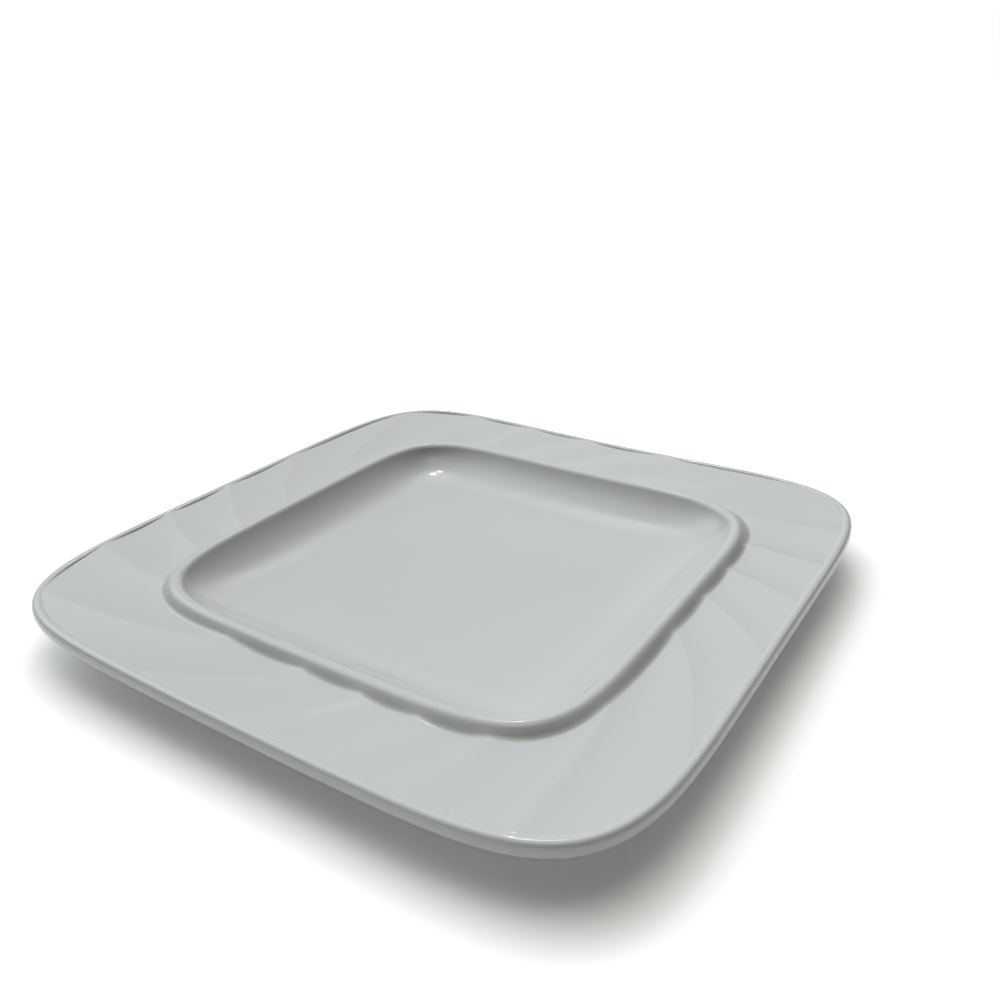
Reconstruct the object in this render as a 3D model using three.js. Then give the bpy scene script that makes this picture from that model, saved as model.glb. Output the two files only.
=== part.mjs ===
// A square serving tray of glazed ceramic: a sunken well inside a raised lip, a broad rim of swirling
// scooped flutes, a rolled edge bead, and a bare foot ring that stands on four soft pads.
// Millimetres, +Z up. The origin is on the table, under the middle of the tray.
import * as THREE from 'three';
import { mergeVertices } from 'three/addons/utils/BufferGeometryUtils.js';

// Plan: every outline is a rounded square |x|^n + |y|^n = half^n
const traySide = 304.4;
const wellSide = 211.4;        // across the well, from lip crest to lip crest
const squareness = 6.24;       // the power n: 2 is a circle, more is squarer

// Heights, stacked up from the table
const padStandOut = 1.2;
const footHeight = 3.6;
const floorThickness = 5;
const wellDepth = 15.05;       // floor to lip crest
const edgeRise = 0.65;         // lip crest to the top of the edge bead

// Well and lip
const coveStart = THREE.MathUtils.degToRad(5);    // slope of the cove where it leaves the floor
const coveSlope = THREE.MathUtils.degToRad(50);   // and where it runs into the lip
const coveEase = 1.4;          // how the slope grows between them: 1 is a circle, more is softer
const cornerSteepness = 2.2;   // how much the top of the cove draws in at the corners: 1 keeps its width
const cornerSpread = 8.2;      // the less, the further the foot of the cove spreads at the corners
const lipRadius = 4.4;         // the lip's round on the side of the well
const shoulderRadius = 4.2;    // and on the side of the rim
const lipSpan = 6.8;           // lip crest out to where the rim starts
const baseRadius = 3.4;        // fillet between the lip's outer wall and the rim
const roundsFill = 0.98;       // most of the room beside the lip that its two outer rounds take up

// Rim and edge bead
const rimThickness = 5.6;
const rimStartSlope = THREE.MathUtils.degToRad(4.3);   // climb of the creases at the lip
const rimEndSlope = THREE.MathUtils.degToRad(7.5);     // and at the bead
const creaseRise = 0.05;       // crease ends above the bead's top
const edgeWidth = 5.1;
const edgeHeight = 6.2;
const edgeFullness = 2.5;      // power of the bead's section: 2 is an ellipse, more is fuller

// Flutes: scoops between creases, all alike, and spaced a little unevenly round the middle
const fluteCount = 21;
const fluteDepth = 1.1;
const fluteEndShare = 0.8;     // share of the depth that is left at the bead
const fluteStart = THREE.MathUtils.degToRad(49.8);   // direction of the first crease at slantRadius
const fluteDrift = THREE.MathUtils.degToRad(2.5);    // most that a crease is turned from even spacing
const driftDirection = THREE.MathUtils.degToRad(50); // and the side where that is clockwise
const slantRadius = 140;
const fluteSlant = THREE.MathUtils.degToRad(0.412);    // clockwise turn of a crease for each mm outward
const fluteCurl = THREE.MathUtils.degToRad(0.00155);   // how fast that turn dies out

// Rebate that the dish's flange drops into
const seamOffset = 1;          // start of the rim out to the seam
const ledgeWidth = 5;
const jointClearance = 0.3;

// Foot ring and pads
const footInset = 2.3;         // edge of the flat floor in to the ring's outer side
const footWidth = 9;
const treadChamfer = 1;
const tenonShoulder = 1.5;
const tenonHeight = 0.9;
const padDiameter = 8;
const padChamfer = 0.5;

// Mesh fineness
const stepsPerFlute = 6;
const meridians = fluteCount * stepsPerFlute;
const rimSteps = 7;
const crestSteps = 4;
const beadSteps = 8;
const coveSteps = 8;
const lipSteps = 4;
const shoulderSteps = 3;
const filletSteps = 3;
const padSides = 24;
const settlePasses = 60;       // repeats that settle where a meridian crosses an outline

// Worked-out heights and places
const treadZ = padStandOut;
const undersideZ = treadZ + footHeight;
const floorZ = undersideZ + floorThickness;
const lipZ = floorZ + wellDepth;
const edgeTopZ = lipZ + edgeRise;
const edgeAside = edgeWidth / 2;
const edgeTall = edgeHeight / 2;
const edgeCentreZ = edgeTopZ - edgeTall;
const edgeCentreHalf = traySide / 2 - edgeAside;
const beadInnerHalf = edgeCentreHalf - edgeAside;
const lipHalf = wellSide / 2;
const coveTopHalf = lipHalf - lipRadius * Math.sin(coveSlope);
const coveTopZ = lipZ - lipRadius * (1 - Math.cos(coveSlope));
const baseHalf = lipHalf + lipSpan;
const rimWidth = edgeCentreHalf - baseHalf;
const startClimb = Math.tan(rimStartSlope);
const endClimb = Math.tan(rimEndSlope);
const baseZ = edgeTopZ + creaseRise - (rimWidth * (startClimb + endClimb)) / 2;
const seamHalf = baseHalf + seamOffset;
const ledgeHalf = seamHalf - ledgeWidth;
const flangeZ = baseZ - rimThickness;
const ledgeZ = flangeZ + (rimThickness - fluteDepth) / 2;
const cove = coveCurve();
const floorHalf = cove[0].half;
const footHalf = floorHalf - footInset;

// The cove from the flat floor up to the lip: its slope grows with a power of the way along it, and at
// the corners its top is drawn in and its foot spreads, so the floor is rounder than the lip
function coveCurve() {
  const slopeAt = (step) => coveStart + (coveSlope - coveStart) * (step / coveSteps) ** coveEase;
  const path = [{ half: 0, z: 0, slope: 0 }];
  for (let step = 1; step <= coveSteps; step++) {
    const { half, z } = path[step - 1];
    const middle = slopeAt(step - 0.5);
    path.push({ half: half + Math.cos(middle), z: z + Math.sin(middle), slope: slopeAt(step) });
  }
  const top = path[coveSteps];
  const scale = (coveTopZ - floorZ) / top.z;
  return path.map(({ half, z, slope }) => {
    const belowLip = scale * (top.half - half);
    const trueWidth = belowLip * (belowLip / cornerSpread - cornerSteepness);
    return { half: coveTopHalf - belowLip, z: floorZ + scale * z, slope, trueWidth };
  });
}

// Distance from the middle to a rounded square of half-size 1, in a given direction
function reach(angle) {
  const sum = Math.abs(Math.cos(angle)) ** squareness + Math.abs(Math.sin(angle)) ** squareness;
  return sum ** (-1 / squareness);
}

// How much further out a band of width 1 round a rounded square ends, in a given direction
function band(angle) {
  const across = Math.abs(Math.cos(angle));
  const along = Math.abs(Math.sin(angle));
  const pull = Math.hypot(across ** (squareness - 1), along ** (squareness - 1));
  return pull / (across ** squareness + along ** squareness);
}

// Clockwise turn of every crease at a distance from the middle
function creaseTurn(radius) {
  const out = radius - slantRadius;
  return fluteSlant * out - fluteCurl * out ** 2;
}

// Direction of a meridian where it crosses the rounded square of a given half-size. On the rim the
// meridians run along the flutes, and past the rim's two ends they go straight on.
function meridianAngle(half, meridian) {
  const onRim = THREE.MathUtils.clamp(half, baseHalf, edgeCentreHalf);
  const even = fluteStart - (2 * Math.PI * meridian) / meridians;
  const start = even - fluteDrift * Math.cos(even - driftDirection);
  let angle = start;
  for (let pass = 0; pass < settlePasses; pass++) angle = start - creaseTurn(onRim * reach(angle));
  return angle;
}

// Depth of the scoop along a meridian, as a share of the full depth: none on a crease
function scoopShare(meridian) {
  const across = (meridian % stepsPerFlute) / stepsPerFlute;
  return 1 - (2 * across - 1) ** 2;
}

// A profile point: half-size of its rounded square, height, the part of the half-size that keeps its true
// width at the corners, the depth that the flutes take off, and the height they never go below
const point = (half, z, trueWidth = 0, scoop = 0, leastZ = 0) => ({ half, z, trueWidth, scoop, leastZ });

// Points along a round on the lip, by angle from straight up, turning outward
function round(centreHalf, centreZ, radius, from, to, steps) {
  return Array.from({ length: steps + 1 }, (_, i) => {
    const angle = THREE.MathUtils.lerp(from, to, i / steps);
    const half = centreHalf + radius * Math.sin(angle);
    return point(half, centreZ + radius * Math.cos(angle), half - coveTopHalf);
  });
}

// A point on the flute creases, which climb from the lip and run into the bead
function landPoint(half) {
  const out = half - baseHalf;
  const z = baseZ + out * startClimb + (out ** 2 * (endClimb - startClimb)) / (2 * rimWidth);
  const fromCentre = Math.abs(half - edgeCentreHalf) / edgeAside;
  const onBead = fromCentre < 1;
  const beadZ = edgeCentreZ + edgeTall * Math.max(0, 1 - fromCentre ** edgeFullness) ** (1 / edgeFullness);
  const lipWidth = baseHalf - coveTopHalf;
  const ringWidth = THREE.MathUtils.mapLinear(half, baseHalf, beadInnerHalf, lipWidth, -edgeAside);
  const outerShare = THREE.MathUtils.smoothstep(half, baseHalf + rimWidth / 2, edgeCentreHalf);
  const scoop = fluteDepth * THREE.MathUtils.lerp(1, fluteEndShare, outerShare);
  return point(half, z, onBead ? half - edgeCentreHalf : ringWidth, scoop, onBead ? beadZ : 0);
}

// The bead from its top round to its lowest point
function beadPoints() {
  const fuller = (value) => Math.sign(value) * Math.abs(value) ** (2 / edgeFullness);
  return Array.from({ length: beadSteps }, (_, i) => {
    const angle = (Math.PI * (i + 1)) / beadSteps;
    const out = edgeAside * fuller(Math.sin(angle));
    return point(edgeCentreHalf + out, edgeCentreZ + edgeTall * fuller(Math.cos(angle)), out);
  });
}

// The lip's outer side: a shoulder, the straight wall that touches both rounds, and the fillet to the rim.
// Where the wall is too short for both rounds, they shrink together until they fit.
function skirtPoints() {
  const lipRise = lipZ - baseZ;
  const run = lipSpan - baseRadius * Math.sin(rimStartSlope);
  const roomForRounds = (roundsFill * (run ** 2 + lipRise ** 2)) / (2 * lipRise);
  const fit = Math.min(1, roomForRounds / (shoulderRadius + baseRadius));
  const shoulderRound = shoulderRadius * fit;
  const baseRound = baseRadius * fit;
  const filletHalf = baseHalf - baseRound * Math.sin(rimStartSlope);
  const filletZ = baseZ + baseRound * Math.cos(rimStartSlope);
  const shoulderZ = lipZ - shoulderRound;
  const aside = filletHalf - lipHalf;
  const above = filletZ - shoulderZ;
  const touch = Math.asin((shoulderRound + baseRound) / Math.hypot(aside, above));
  const wallSlope = touch - Math.atan2(above, aside);
  const shoulder = round(lipHalf, shoulderZ, shoulderRound, 0, wallSlope, shoulderSteps);
  const filletFrom = Math.PI + wallSlope;
  const filletTo = Math.PI - rimStartSlope;
  const fillet = round(filletHalf, filletZ, baseRound, filletFrom, filletTo, filletSteps);
  const wallHalf = shoulder[shoulderSteps].half;
  return [...shoulder, ...fillet].map((at) => {
    return { ...at, scoop: fluteDepth * THREE.MathUtils.smoothstep(at.half, wallHalf, baseHalf) };
  });
}

// Sweeps a profile round the tray: a turned body whose circles become rounded squares
function sweep(profile) {
  const outline = profile.map(({ half, z }) => new THREE.Vector2(half, z));
  const geometry = new THREE.LatheGeometry(outline, meridians);
  const position = geometry.getAttribute('position');
  for (let i = 0; i < position.count; i++) {
    const { half, z, trueWidth, scoop, leastZ } = profile[i % profile.length];
    const meridian = Math.floor(i / profile.length) % meridians;
    const angle = meridianAngle(half, meridian);
    const radius = (half - trueWidth) * reach(angle) + trueWidth * band(angle);
    const cutZ = Math.max(z - scoop * scoopShare(meridian), leastZ);
    position.setXYZ(i, radius * Math.cos(angle), radius * Math.sin(angle), cutZ);
  }
  return welded(geometry);
}

// One closed skin: shared vertices merged, slivers on the axis left out
function welded(geometry) {
  geometry.deleteAttribute('normal');
  geometry.deleteAttribute('uv');
  const merged = mergeVertices(geometry);
  const index = merged.getIndex().array;
  const kept = [];
  for (let i = 0; i < index.length; i += 3) {
    const [a, b, c] = index.slice(i, i + 3);
    if (a !== b && b !== c && c !== a) kept.push(a, b, c);
  }
  merged.setIndex(kept);
  merged.computeVertexNormals();
  return merged;
}

// Rim: from the rebate round its opening, over the flutes and the bead, and back underneath
function rimProfile() {
  const inner = seamHalf + jointClearance / 2;
  const flutes = Array.from({ length: rimSteps }, (_, i) => {
    return landPoint(THREE.MathUtils.lerp(inner, beadInnerHalf, i / rimSteps));
  });
  const crest = Array.from({ length: crestSteps + 1 }, (_, i) => {
    return landPoint(THREE.MathUtils.lerp(beadInnerHalf, edgeCentreHalf, i / crestSteps));
  });
  const loop = [
    point(ledgeHalf, flangeZ),
    point(ledgeHalf, ledgeZ),
    point(inner, ledgeZ, landPoint(inner).trueWidth),
    ...flutes,
    ...crest,
    ...beadPoints(),
  ];
  return [...loop, loop[0]];
}

// Dish: over the floor, the cove, the lip and its outer side, then back under the flange and the floor
function dishProfile() {
  const outer = seamHalf - jointClearance / 2;
  const flangeInner = ledgeHalf - jointClearance;
  const inside = cove.map(({ half, z, trueWidth }) => point(half, z, trueWidth));
  const back = cove.map(({ half, z, slope }) => {
    return point(half + floorThickness * Math.sin(slope), z - floorThickness * Math.cos(slope));
  });
  const lip = round(lipHalf, lipZ - lipRadius, lipRadius, -coveSlope, 0, lipSteps).slice(1, -1);
  const rimEnd = landPoint(outer);
  const grooveOuter = footHalf - tenonShoulder + jointClearance;
  const grooveInner = footHalf - footWidth + tenonShoulder - jointClearance;
  const grooveZ = undersideZ + tenonHeight + jointClearance;
  return [
    point(0, floorZ),
    ...inside,
    ...lip,
    ...skirtPoints(),
    rimEnd,
    point(outer, ledgeZ, rimEnd.trueWidth),
    point(flangeInner, ledgeZ),
    point(flangeInner, flangeZ),
    ...back.filter(({ z }) => z < flangeZ).reverse(),
    point(grooveOuter, undersideZ),
    point(grooveOuter, grooveZ),
    point(grooveInner, grooveZ),
    point(grooveInner, undersideZ),
    point(0, undersideZ),
  ];
}

// Foot ring: chamfered tread below, shoulders against the floor, and a tenon in the floor's groove
function footProfile() {
  const inner = footHalf - footWidth;
  const tenonZ = undersideZ + tenonHeight;
  const loop = [
    point(inner, treadZ + treadChamfer),
    point(inner, undersideZ),
    point(inner + tenonShoulder, undersideZ),
    point(inner + tenonShoulder, tenonZ),
    point(footHalf - tenonShoulder, tenonZ),
    point(footHalf - tenonShoulder, undersideZ),
    point(footHalf, undersideZ),
    point(footHalf, treadZ + treadChamfer),
    point(footHalf - treadChamfer, treadZ),
    point(inner + treadChamfer, treadZ),
  ];
  return [...loop, loop[0]];
}

// Pad: a flat disc with its lower rim chamfered
function padGeometry() {
  const radius = padDiameter / 2;
  const outline = [
    new THREE.Vector2(0, 0),
    new THREE.Vector2(radius - padChamfer, 0),
    new THREE.Vector2(radius, padChamfer),
    new THREE.Vector2(radius, padStandOut),
    new THREE.Vector2(0, padStandOut),
  ];
  return welded(new THREE.LatheGeometry(outline, padSides).rotateX(Math.PI / 2));
}

const glaze = new THREE.MeshStandardMaterial({ color: '#d3d6d6', roughness: 0.14, metalness: 0 });
const bareClay = new THREE.MeshStandardMaterial({ color: '#cdc4b4', roughness: 0.85, metalness: 0 });
const silicone = new THREE.MeshStandardMaterial({ color: '#a9aba8', roughness: 0.55, metalness: 0 });

function piece(name, geometry, material) {
  const mesh = new THREE.Mesh(geometry, material);
  mesh.name = name;
  return mesh;
}

const tray = new THREE.Group();
tray.add(piece('fluted_rim', sweep(rimProfile()), glaze));
tray.add(piece('well_dish', sweep(dishProfile()), glaze));
tray.add(piece('foot_ring', sweep(footProfile()), bareClay));

// One pad under each corner of the tread, on its centreline
for (let corner = 0; corner < 4; corner++) {
  const angle = Math.PI / 4 + (corner * Math.PI) / 2;
  const radius = (footHalf - footWidth / 2) * reach(angle);
  const pad = piece(`foot_pad_${corner + 1}`, padGeometry(), silicone);
  pad.position.set(radius * Math.cos(angle), radius * Math.sin(angle), 0);
  tray.add(pad);
}

export default tray;
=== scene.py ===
# %% [markdown]
# # A square serving tray of glazed ceramic
# The real tray is one fired clay body: a flat sunken well, a raised lip, a broad rim of swirling
# scooped flutes and a rolled edge bead. It stands on a bare foot ring. A potter would make it with a
# template that sweeps round the clay, and this lesson does the same with Geometry Nodes: a profile is
# drawn once, and the nodes sweep it round a rounded square.

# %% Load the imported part
import math

import bpy
import numpy as np
from mathutils import Matrix, Vector


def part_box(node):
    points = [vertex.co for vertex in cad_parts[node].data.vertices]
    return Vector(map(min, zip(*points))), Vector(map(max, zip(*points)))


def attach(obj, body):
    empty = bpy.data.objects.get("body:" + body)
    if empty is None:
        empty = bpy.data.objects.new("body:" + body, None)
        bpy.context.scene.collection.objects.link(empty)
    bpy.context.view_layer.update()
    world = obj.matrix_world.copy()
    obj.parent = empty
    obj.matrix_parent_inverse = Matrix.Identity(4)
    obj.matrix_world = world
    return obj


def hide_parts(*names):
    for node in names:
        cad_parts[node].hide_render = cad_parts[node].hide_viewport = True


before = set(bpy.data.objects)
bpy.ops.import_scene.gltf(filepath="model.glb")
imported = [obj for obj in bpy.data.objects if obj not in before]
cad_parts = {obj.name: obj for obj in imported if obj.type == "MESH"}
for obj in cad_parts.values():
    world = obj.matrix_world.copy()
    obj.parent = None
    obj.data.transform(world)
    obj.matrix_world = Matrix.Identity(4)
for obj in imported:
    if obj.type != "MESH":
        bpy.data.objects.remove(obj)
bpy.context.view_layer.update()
MM = 0.001

# %% [markdown]
# ## Two helpers
# Colours are written as sRGB hex values, as a paint chart gives them, and Blender's sockets want linear
# light, so one function turns the one into the other. A second one adds a node to any tree, with its
# settings, its values and its links.

# %% Colour and node helpers


def linear(hex_colour):
    """The linear RGBA colour of an sRGB hex value."""
    channels = [int(hex_colour[i : i + 2], 16) / 255 for i in (1, 3, 5)]
    return (*[c / 12.92 if c <= 0.04045 else ((c + 0.055) / 1.055) ** 2.4 for c in channels], 1.0)


def add_node(tree, kind, inputs=None, **settings):
    """One node with its settings; each input gets a value or a link from another node's socket."""
    made = tree.nodes.new(kind)
    for name, value in settings.items():
        setattr(made, name, value)
    for socket, value in (inputs or {}).items():
        if isinstance(value, bpy.types.NodeSocket):
            tree.links.new(value, made.inputs[socket])
        else:
            made.inputs[socket].default_value = value
    return made


WHITE_HEX = "#ffffff"
print("white is", linear(WHITE_HEX))

# %% [markdown]
# ## The camera
# The photograph is taken from above one corner, quite close, with a phone's wide lens. Its place was
# worked out from the outlines of the edge and of the lip, so it is given here as an angle round the
# tray, an angle above it, a distance from the tray's middle at the height of its edge, and a small side
# step.

# %% Camera
PICTURE_SIDE = 1000
SENSOR = 36.0
AZIMUTH, ELEVATION, ROLL = 0.5883, 0.4382, -0.0215
DISTANCE, STEP_RIGHT, STEP_UP = 440.1 * MM, 15.73 * MM, 22.85 * MM
FOCAL_PIXELS = 930.9
EDGE_CENTRE_Z = 22.5
CLIP_START = 10 * MM

back = Vector(
    (
        math.sin(AZIMUTH) * math.cos(ELEVATION),
        -math.cos(AZIMUTH) * math.cos(ELEVATION),
        math.sin(ELEVATION),
    )
)
right = Vector((math.cos(AZIMUTH), math.sin(AZIMUTH), 0))
up = back.cross(right)
eye = back * DISTANCE + right * STEP_RIGHT + up * STEP_UP + Vector((0, 0, EDGE_CENTRE_Z * MM))
rolled_right = right * math.cos(ROLL) + up * math.sin(ROLL)
rolled_up = up * math.cos(ROLL) - right * math.sin(ROLL)

camera_data = bpy.data.cameras.new("photo_camera")
camera_data.sensor_width = SENSOR
camera_data.lens = FOCAL_PIXELS / PICTURE_SIDE * SENSOR
camera_data.clip_start = CLIP_START
camera = bpy.data.objects.new("photo_camera", camera_data)
turn = Matrix((rolled_right, rolled_up, back)).transposed().to_4x4()
camera.matrix_world = Matrix.Translation(eye) @ turn
bpy.context.scene.collection.objects.link(camera)
bpy.context.scene.camera = camera
print("camera at", [round(v / MM) for v in eye], "mm, lens", round(camera_data.lens, 1), "mm")

# %% [markdown]
# ## The glaze
# White tableware glaze is a thin coat of glass over a pale body. It is smooth and clear on top, so it
# mirrors the lamps, with an index of refraction near 1.5. It is never quite even: it runs thin over the
# crests, lies thicker in the scoops, ripples a little like orange peel, and holds a few dark pinholes.

# %% Glaze material
GLAZE_HEX = "#d3d6d6"
GLAZE_THIN_HEX = "#d4d7d6"
PINHOLE_HEX = "#8d8a82"
GLAZE_ROUGHNESS, GLAZE_INDEX = 0.08, 1.5
CLOUD_MM = 60.0
CLOUD_DARK, CLOUD_LIGHT = 0.985, 1.015
RIPPLE_MM = 7.0
RIPPLE_STRENGTH, RIPPLE_DEPTH_MM = 0.25, 0.08
PINHOLE_SPACING_MM = 11.0
PINHOLE_RADIUS_MM = 0.45
PINHOLE_FREE_SHARE = 0.9
PINHOLE_SOFTNESS = 0.25


def glaze_material():
    """Clear white glaze with faint clouds, thin crests, ripples and a few pinholes."""
    made = bpy.data.materials.new("white_glaze_on_ceramic")
    made.use_nodes = True
    tree = made.node_tree
    tree.nodes.clear()
    place = add_node(tree, "ShaderNodeTexCoord").outputs["Object"]
    pinhole_size = PINHOLE_RADIUS_MM / PINHOLE_SPACING_MM
    clouds = add_node(
        tree, "ShaderNodeTexNoise", {"Vector": place, "Scale": 1 / (CLOUD_MM * MM), "Detail": 3.0}
    )
    thin = add_node(tree, "ShaderNodeAttribute", attribute_name="thin_glaze")
    coat = add_node(
        tree,
        "ShaderNodeMix",
        {
            "Factor": thin.outputs["Fac"],
            6: linear(GLAZE_HEX),
            7: linear(GLAZE_THIN_HEX),
        },
        data_type="RGBA",
    )
    lighter = add_node(
        tree, "ShaderNodeMapRange", {"Value": clouds.outputs["Fac"], 3: CLOUD_DARK, 4: CLOUD_LIGHT}
    )
    clouded = add_node(
        tree, "ShaderNodeVectorMath", {0: coat.outputs[2], 1: lighter.outputs[0]}, operation="MULTIPLY"
    )
    cells = add_node(
        tree, "ShaderNodeTexVoronoi", {"Vector": place, "Scale": 1 / (PINHOLE_SPACING_MM * MM)}
    )
    lot = add_node(tree, "ShaderNodeSeparateColor", {0: cells.outputs["Color"]})
    size = add_node(
        tree,
        "ShaderNodeMapRange",
        {"Value": lot.outputs[0], 1: PINHOLE_FREE_SHARE, 2: 1.0, 3: 0.0, 4: pinhole_size},
    )
    closeness = add_node(
        tree, "ShaderNodeMath", {0: size.outputs[0], 1: cells.outputs["Distance"]}, operation="SUBTRACT"
    )
    pinhole = add_node(
        tree,
        "ShaderNodeMapRange",
        {"Value": closeness.outputs[0], 1: 0.0, 2: PINHOLE_SOFTNESS * pinhole_size},
    )
    colour = add_node(
        tree,
        "ShaderNodeMix",
        {"Factor": pinhole.outputs[0], 6: clouded.outputs[0], 7: linear(PINHOLE_HEX)},
        data_type="RGBA",
    )
    ripples = add_node(
        tree, "ShaderNodeTexNoise", {"Vector": place, "Scale": 1 / (RIPPLE_MM * MM), "Detail": 2.0}
    )
    pitted = add_node(
        tree, "ShaderNodeMath", {0: ripples.outputs["Fac"], 1: pinhole.outputs[0]}, operation="SUBTRACT"
    )
    relief = add_node(
        tree,
        "ShaderNodeBump",
        {"Strength": RIPPLE_STRENGTH, "Distance": RIPPLE_DEPTH_MM * MM, "Height": pitted.outputs[0]},
    )
    shader = add_node(
        tree,
        "ShaderNodeBsdfPrincipled",
        {
            "Base Color": colour.outputs[2],
            "Roughness": GLAZE_ROUGHNESS,
            "IOR": GLAZE_INDEX,
            "Normal": relief.outputs[0],
        },
    )
    add_node(tree, "ShaderNodeOutputMaterial", {"Surface": shader.outputs[0]})
    return made


glaze = glaze_material()
print("glaze has", len(glaze.node_tree.nodes), "nodes")

# %% [markdown]
# ## Bare clay and silicone
# The tread of the foot ring is wiped free of glaze before firing, so it stays matt, sandy and warmer
# than the glaze. The four pads under it are soft moulded silicone with a fine tooth.

# %% Bare clay and silicone materials
GRIT_MM, GRIT_DEPTH_MM, CLAY_ROUGHNESS = 0.6, 0.08, 0.85
TOOTH_MM, TOOTH_DEPTH_MM, SILICONE_ROUGHNESS = 0.35, 0.02, 0.55
GRAIN_STRENGTH = 0.6


def grained_material(name, dark_hex, light_hex, grain_mm, roughness, relief_mm):
    """A matt material whose colour and relief come from one even grain."""
    made = bpy.data.materials.new(name)
    made.use_nodes = True
    tree = made.node_tree
    tree.nodes.clear()
    place = add_node(tree, "ShaderNodeTexCoord").outputs["Object"]
    grain = add_node(
        tree, "ShaderNodeTexNoise", {"Vector": place, "Scale": 1 / (grain_mm * MM), "Detail": 4.0}
    )
    colour = add_node(
        tree,
        "ShaderNodeMix",
        {"Factor": grain.outputs["Fac"], 6: linear(dark_hex), 7: linear(light_hex)},
        data_type="RGBA",
    )
    relief = add_node(
        tree,
        "ShaderNodeBump",
        {"Strength": GRAIN_STRENGTH, "Distance": relief_mm * MM, "Height": grain.outputs["Fac"]},
    )
    shader = add_node(
        tree,
        "ShaderNodeBsdfPrincipled",
        {"Base Color": colour.outputs[2], "Roughness": roughness, "Normal": relief.outputs[0]},
    )
    add_node(tree, "ShaderNodeOutputMaterial", {"Surface": shader.outputs[0]})
    return made


bare_clay = grained_material(
    "bare_fired_clay", "#bfb4a2", "#dad2c3", GRIT_MM, CLAY_ROUGHNESS, GRIT_DEPTH_MM
)
silicone = grained_material(
    "moulded_silicone", "#a0a29f", "#b2b4b1", TOOTH_MM, SILICONE_ROUGHNESS, TOOTH_DEPTH_MM
)
print("made", bare_clay.name, "and", silicone.name)

# %% [markdown]
# ## The template
# A potter's template holds the whole section of the tray: floor, cove, lip, rim and bead. Here it is a
# list of points, each with its distance from the middle, its height, the share of the flutes' depth that
# is scooped off there, and how thin the glaze runs. All sizes are in millimetres from the table.

# %% Sizes of the section
SQUARENESS = 6.24
LIP_HALF, EDGE_HALF = 105.7, 152.2
TREAD_Z, UNDERSIDE_Z, FLOOR_Z = 1.2, 4.8, 9.8
LIP_Z, EDGE_TOP_Z = 24.85, 25.5
EDGE_ASIDE, EDGE_TALL, EDGE_FULLNESS = 2.55, 3.1, 2.5
LIP_RADIUS, SHOULDER_RADIUS, BASE_RADIUS, LIP_SPAN = 4.4, 4.2, 3.4, 6.8
COVE_START, COVE_SLOPE, COVE_EASE = math.radians(5), math.radians(50), 1.4
CORNER_STEEPNESS, CORNER_SPREAD = 2.2, 8.2
RIM_START_SLOPE, RIM_END_SLOPE = math.radians(4.3), math.radians(7.5)
RIM_THICKNESS, FLOOR_THICKNESS = 5.6, 5.0
CREASE_RISE = 0.05
GROOVE_INSET, GROOVE_WIDTH, GROOVE_DEPTH = 1.3, 0.5, 0.2
FLUTE_DEPTH, FLUTE_END_SHARE = 1.1, 0.8
SEAM_OFFSET, LEDGE_WIDTH = 1.0, 5.0

edge_centre_half, edge_centre_z = EDGE_HALF - EDGE_ASIDE, EDGE_TOP_Z - EDGE_TALL
cove_top_half = LIP_HALF - LIP_RADIUS * math.sin(COVE_SLOPE)
cove_top_z = LIP_Z - LIP_RADIUS * (1 - math.cos(COVE_SLOPE))
base_half = LIP_HALF + LIP_SPAN
rim_width = edge_centre_half - base_half
start_climb, end_climb = math.tan(RIM_START_SLOPE), math.tan(RIM_END_SLOPE)
base_z = EDGE_TOP_Z + CREASE_RISE - rim_width * (start_climb + end_climb) / 2
seam_half = base_half + SEAM_OFFSET
ledge_half = seam_half - LEDGE_WIDTH
flange_z = base_z - RIM_THICKNESS
ledge_z = flange_z + (RIM_THICKNESS - FLUTE_DEPTH) / 2
print("lip stands", round(LIP_Z - base_z, 1), "mm over the rim, which starts at", round(base_half, 1))

# %% [markdown]
# The cove leaves the floor at a slight angle and steepens all the way up to the lip, so its slope grows
# with a power of the way along it. Outside its crest the lip bends down to a short wall, and a fillet
# turns the wall into the rim. The wall is the straight line that touches both of those rounds.
#
# A template of one width would grow at the tray's corners if all of it were scaled with the square, so
# each point also says how much of its distance keeps its true width. The lip and the bead keep theirs. At
# the corners the top of the cove is drawn in and its foot spreads, so the floor is rounder than the lip.

# %% Points of the section
SHAPE_COLUMNS = ("half", "z", "scoop", "thin", "true_width", "least_z")
FLOOR_STEPS, COVE_STEPS, LIP_STEPS = 8, 40, 14
ROUND_STEPS, WALL_STEPS = 16, 5
RIM_STEPS, CREST_STEPS, BEAD_STEPS, UNDER_STEPS = 30, 21, 42, 44
SOFTEN_PASSES = 12
LIP_THINNESS, BEAD_THINNESS = 0.7, 0.6


def smooth_step(share):
    """An S-curve from 0 to 1."""
    share = np.clip(share, 0, 1)
    return share * share * (3 - 2 * share)


def rows(half, z, scoop=0.0, thin=0.0, true_width=0.0, least_z=0.0):
    """Template points from arrays or single values, one row each."""
    columns = np.broadcast_arrays(half, z, scoop, thin, true_width, least_z)
    return np.column_stack(columns).astype(float)


def round_rows(centre_half, centre_z, radius, angles, thin=0.0):
    """Points on a round, by angle from straight up, turning outward."""
    return rows(centre_half + radius * np.sin(angles), centre_z + radius * np.cos(angles), 0.0, thin)


def cove_curve():
    """Distance, height and slope along the cove, from the flat floor up to the lip."""
    share = np.linspace(0, 1, COVE_STEPS + 1)
    slope = COVE_START + (COVE_SLOPE - COVE_START) * share**COVE_EASE
    middle = (slope[:-1] + slope[1:]) / 2
    run = np.r_[0, np.cumsum(np.cos(middle))]
    rise = np.r_[0, np.cumsum(np.sin(middle))]
    scale = (cove_top_z - FLOOR_Z) / rise[-1]
    return cove_top_half - scale * (run[-1] - run), FLOOR_Z + scale * rise, slope


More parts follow.
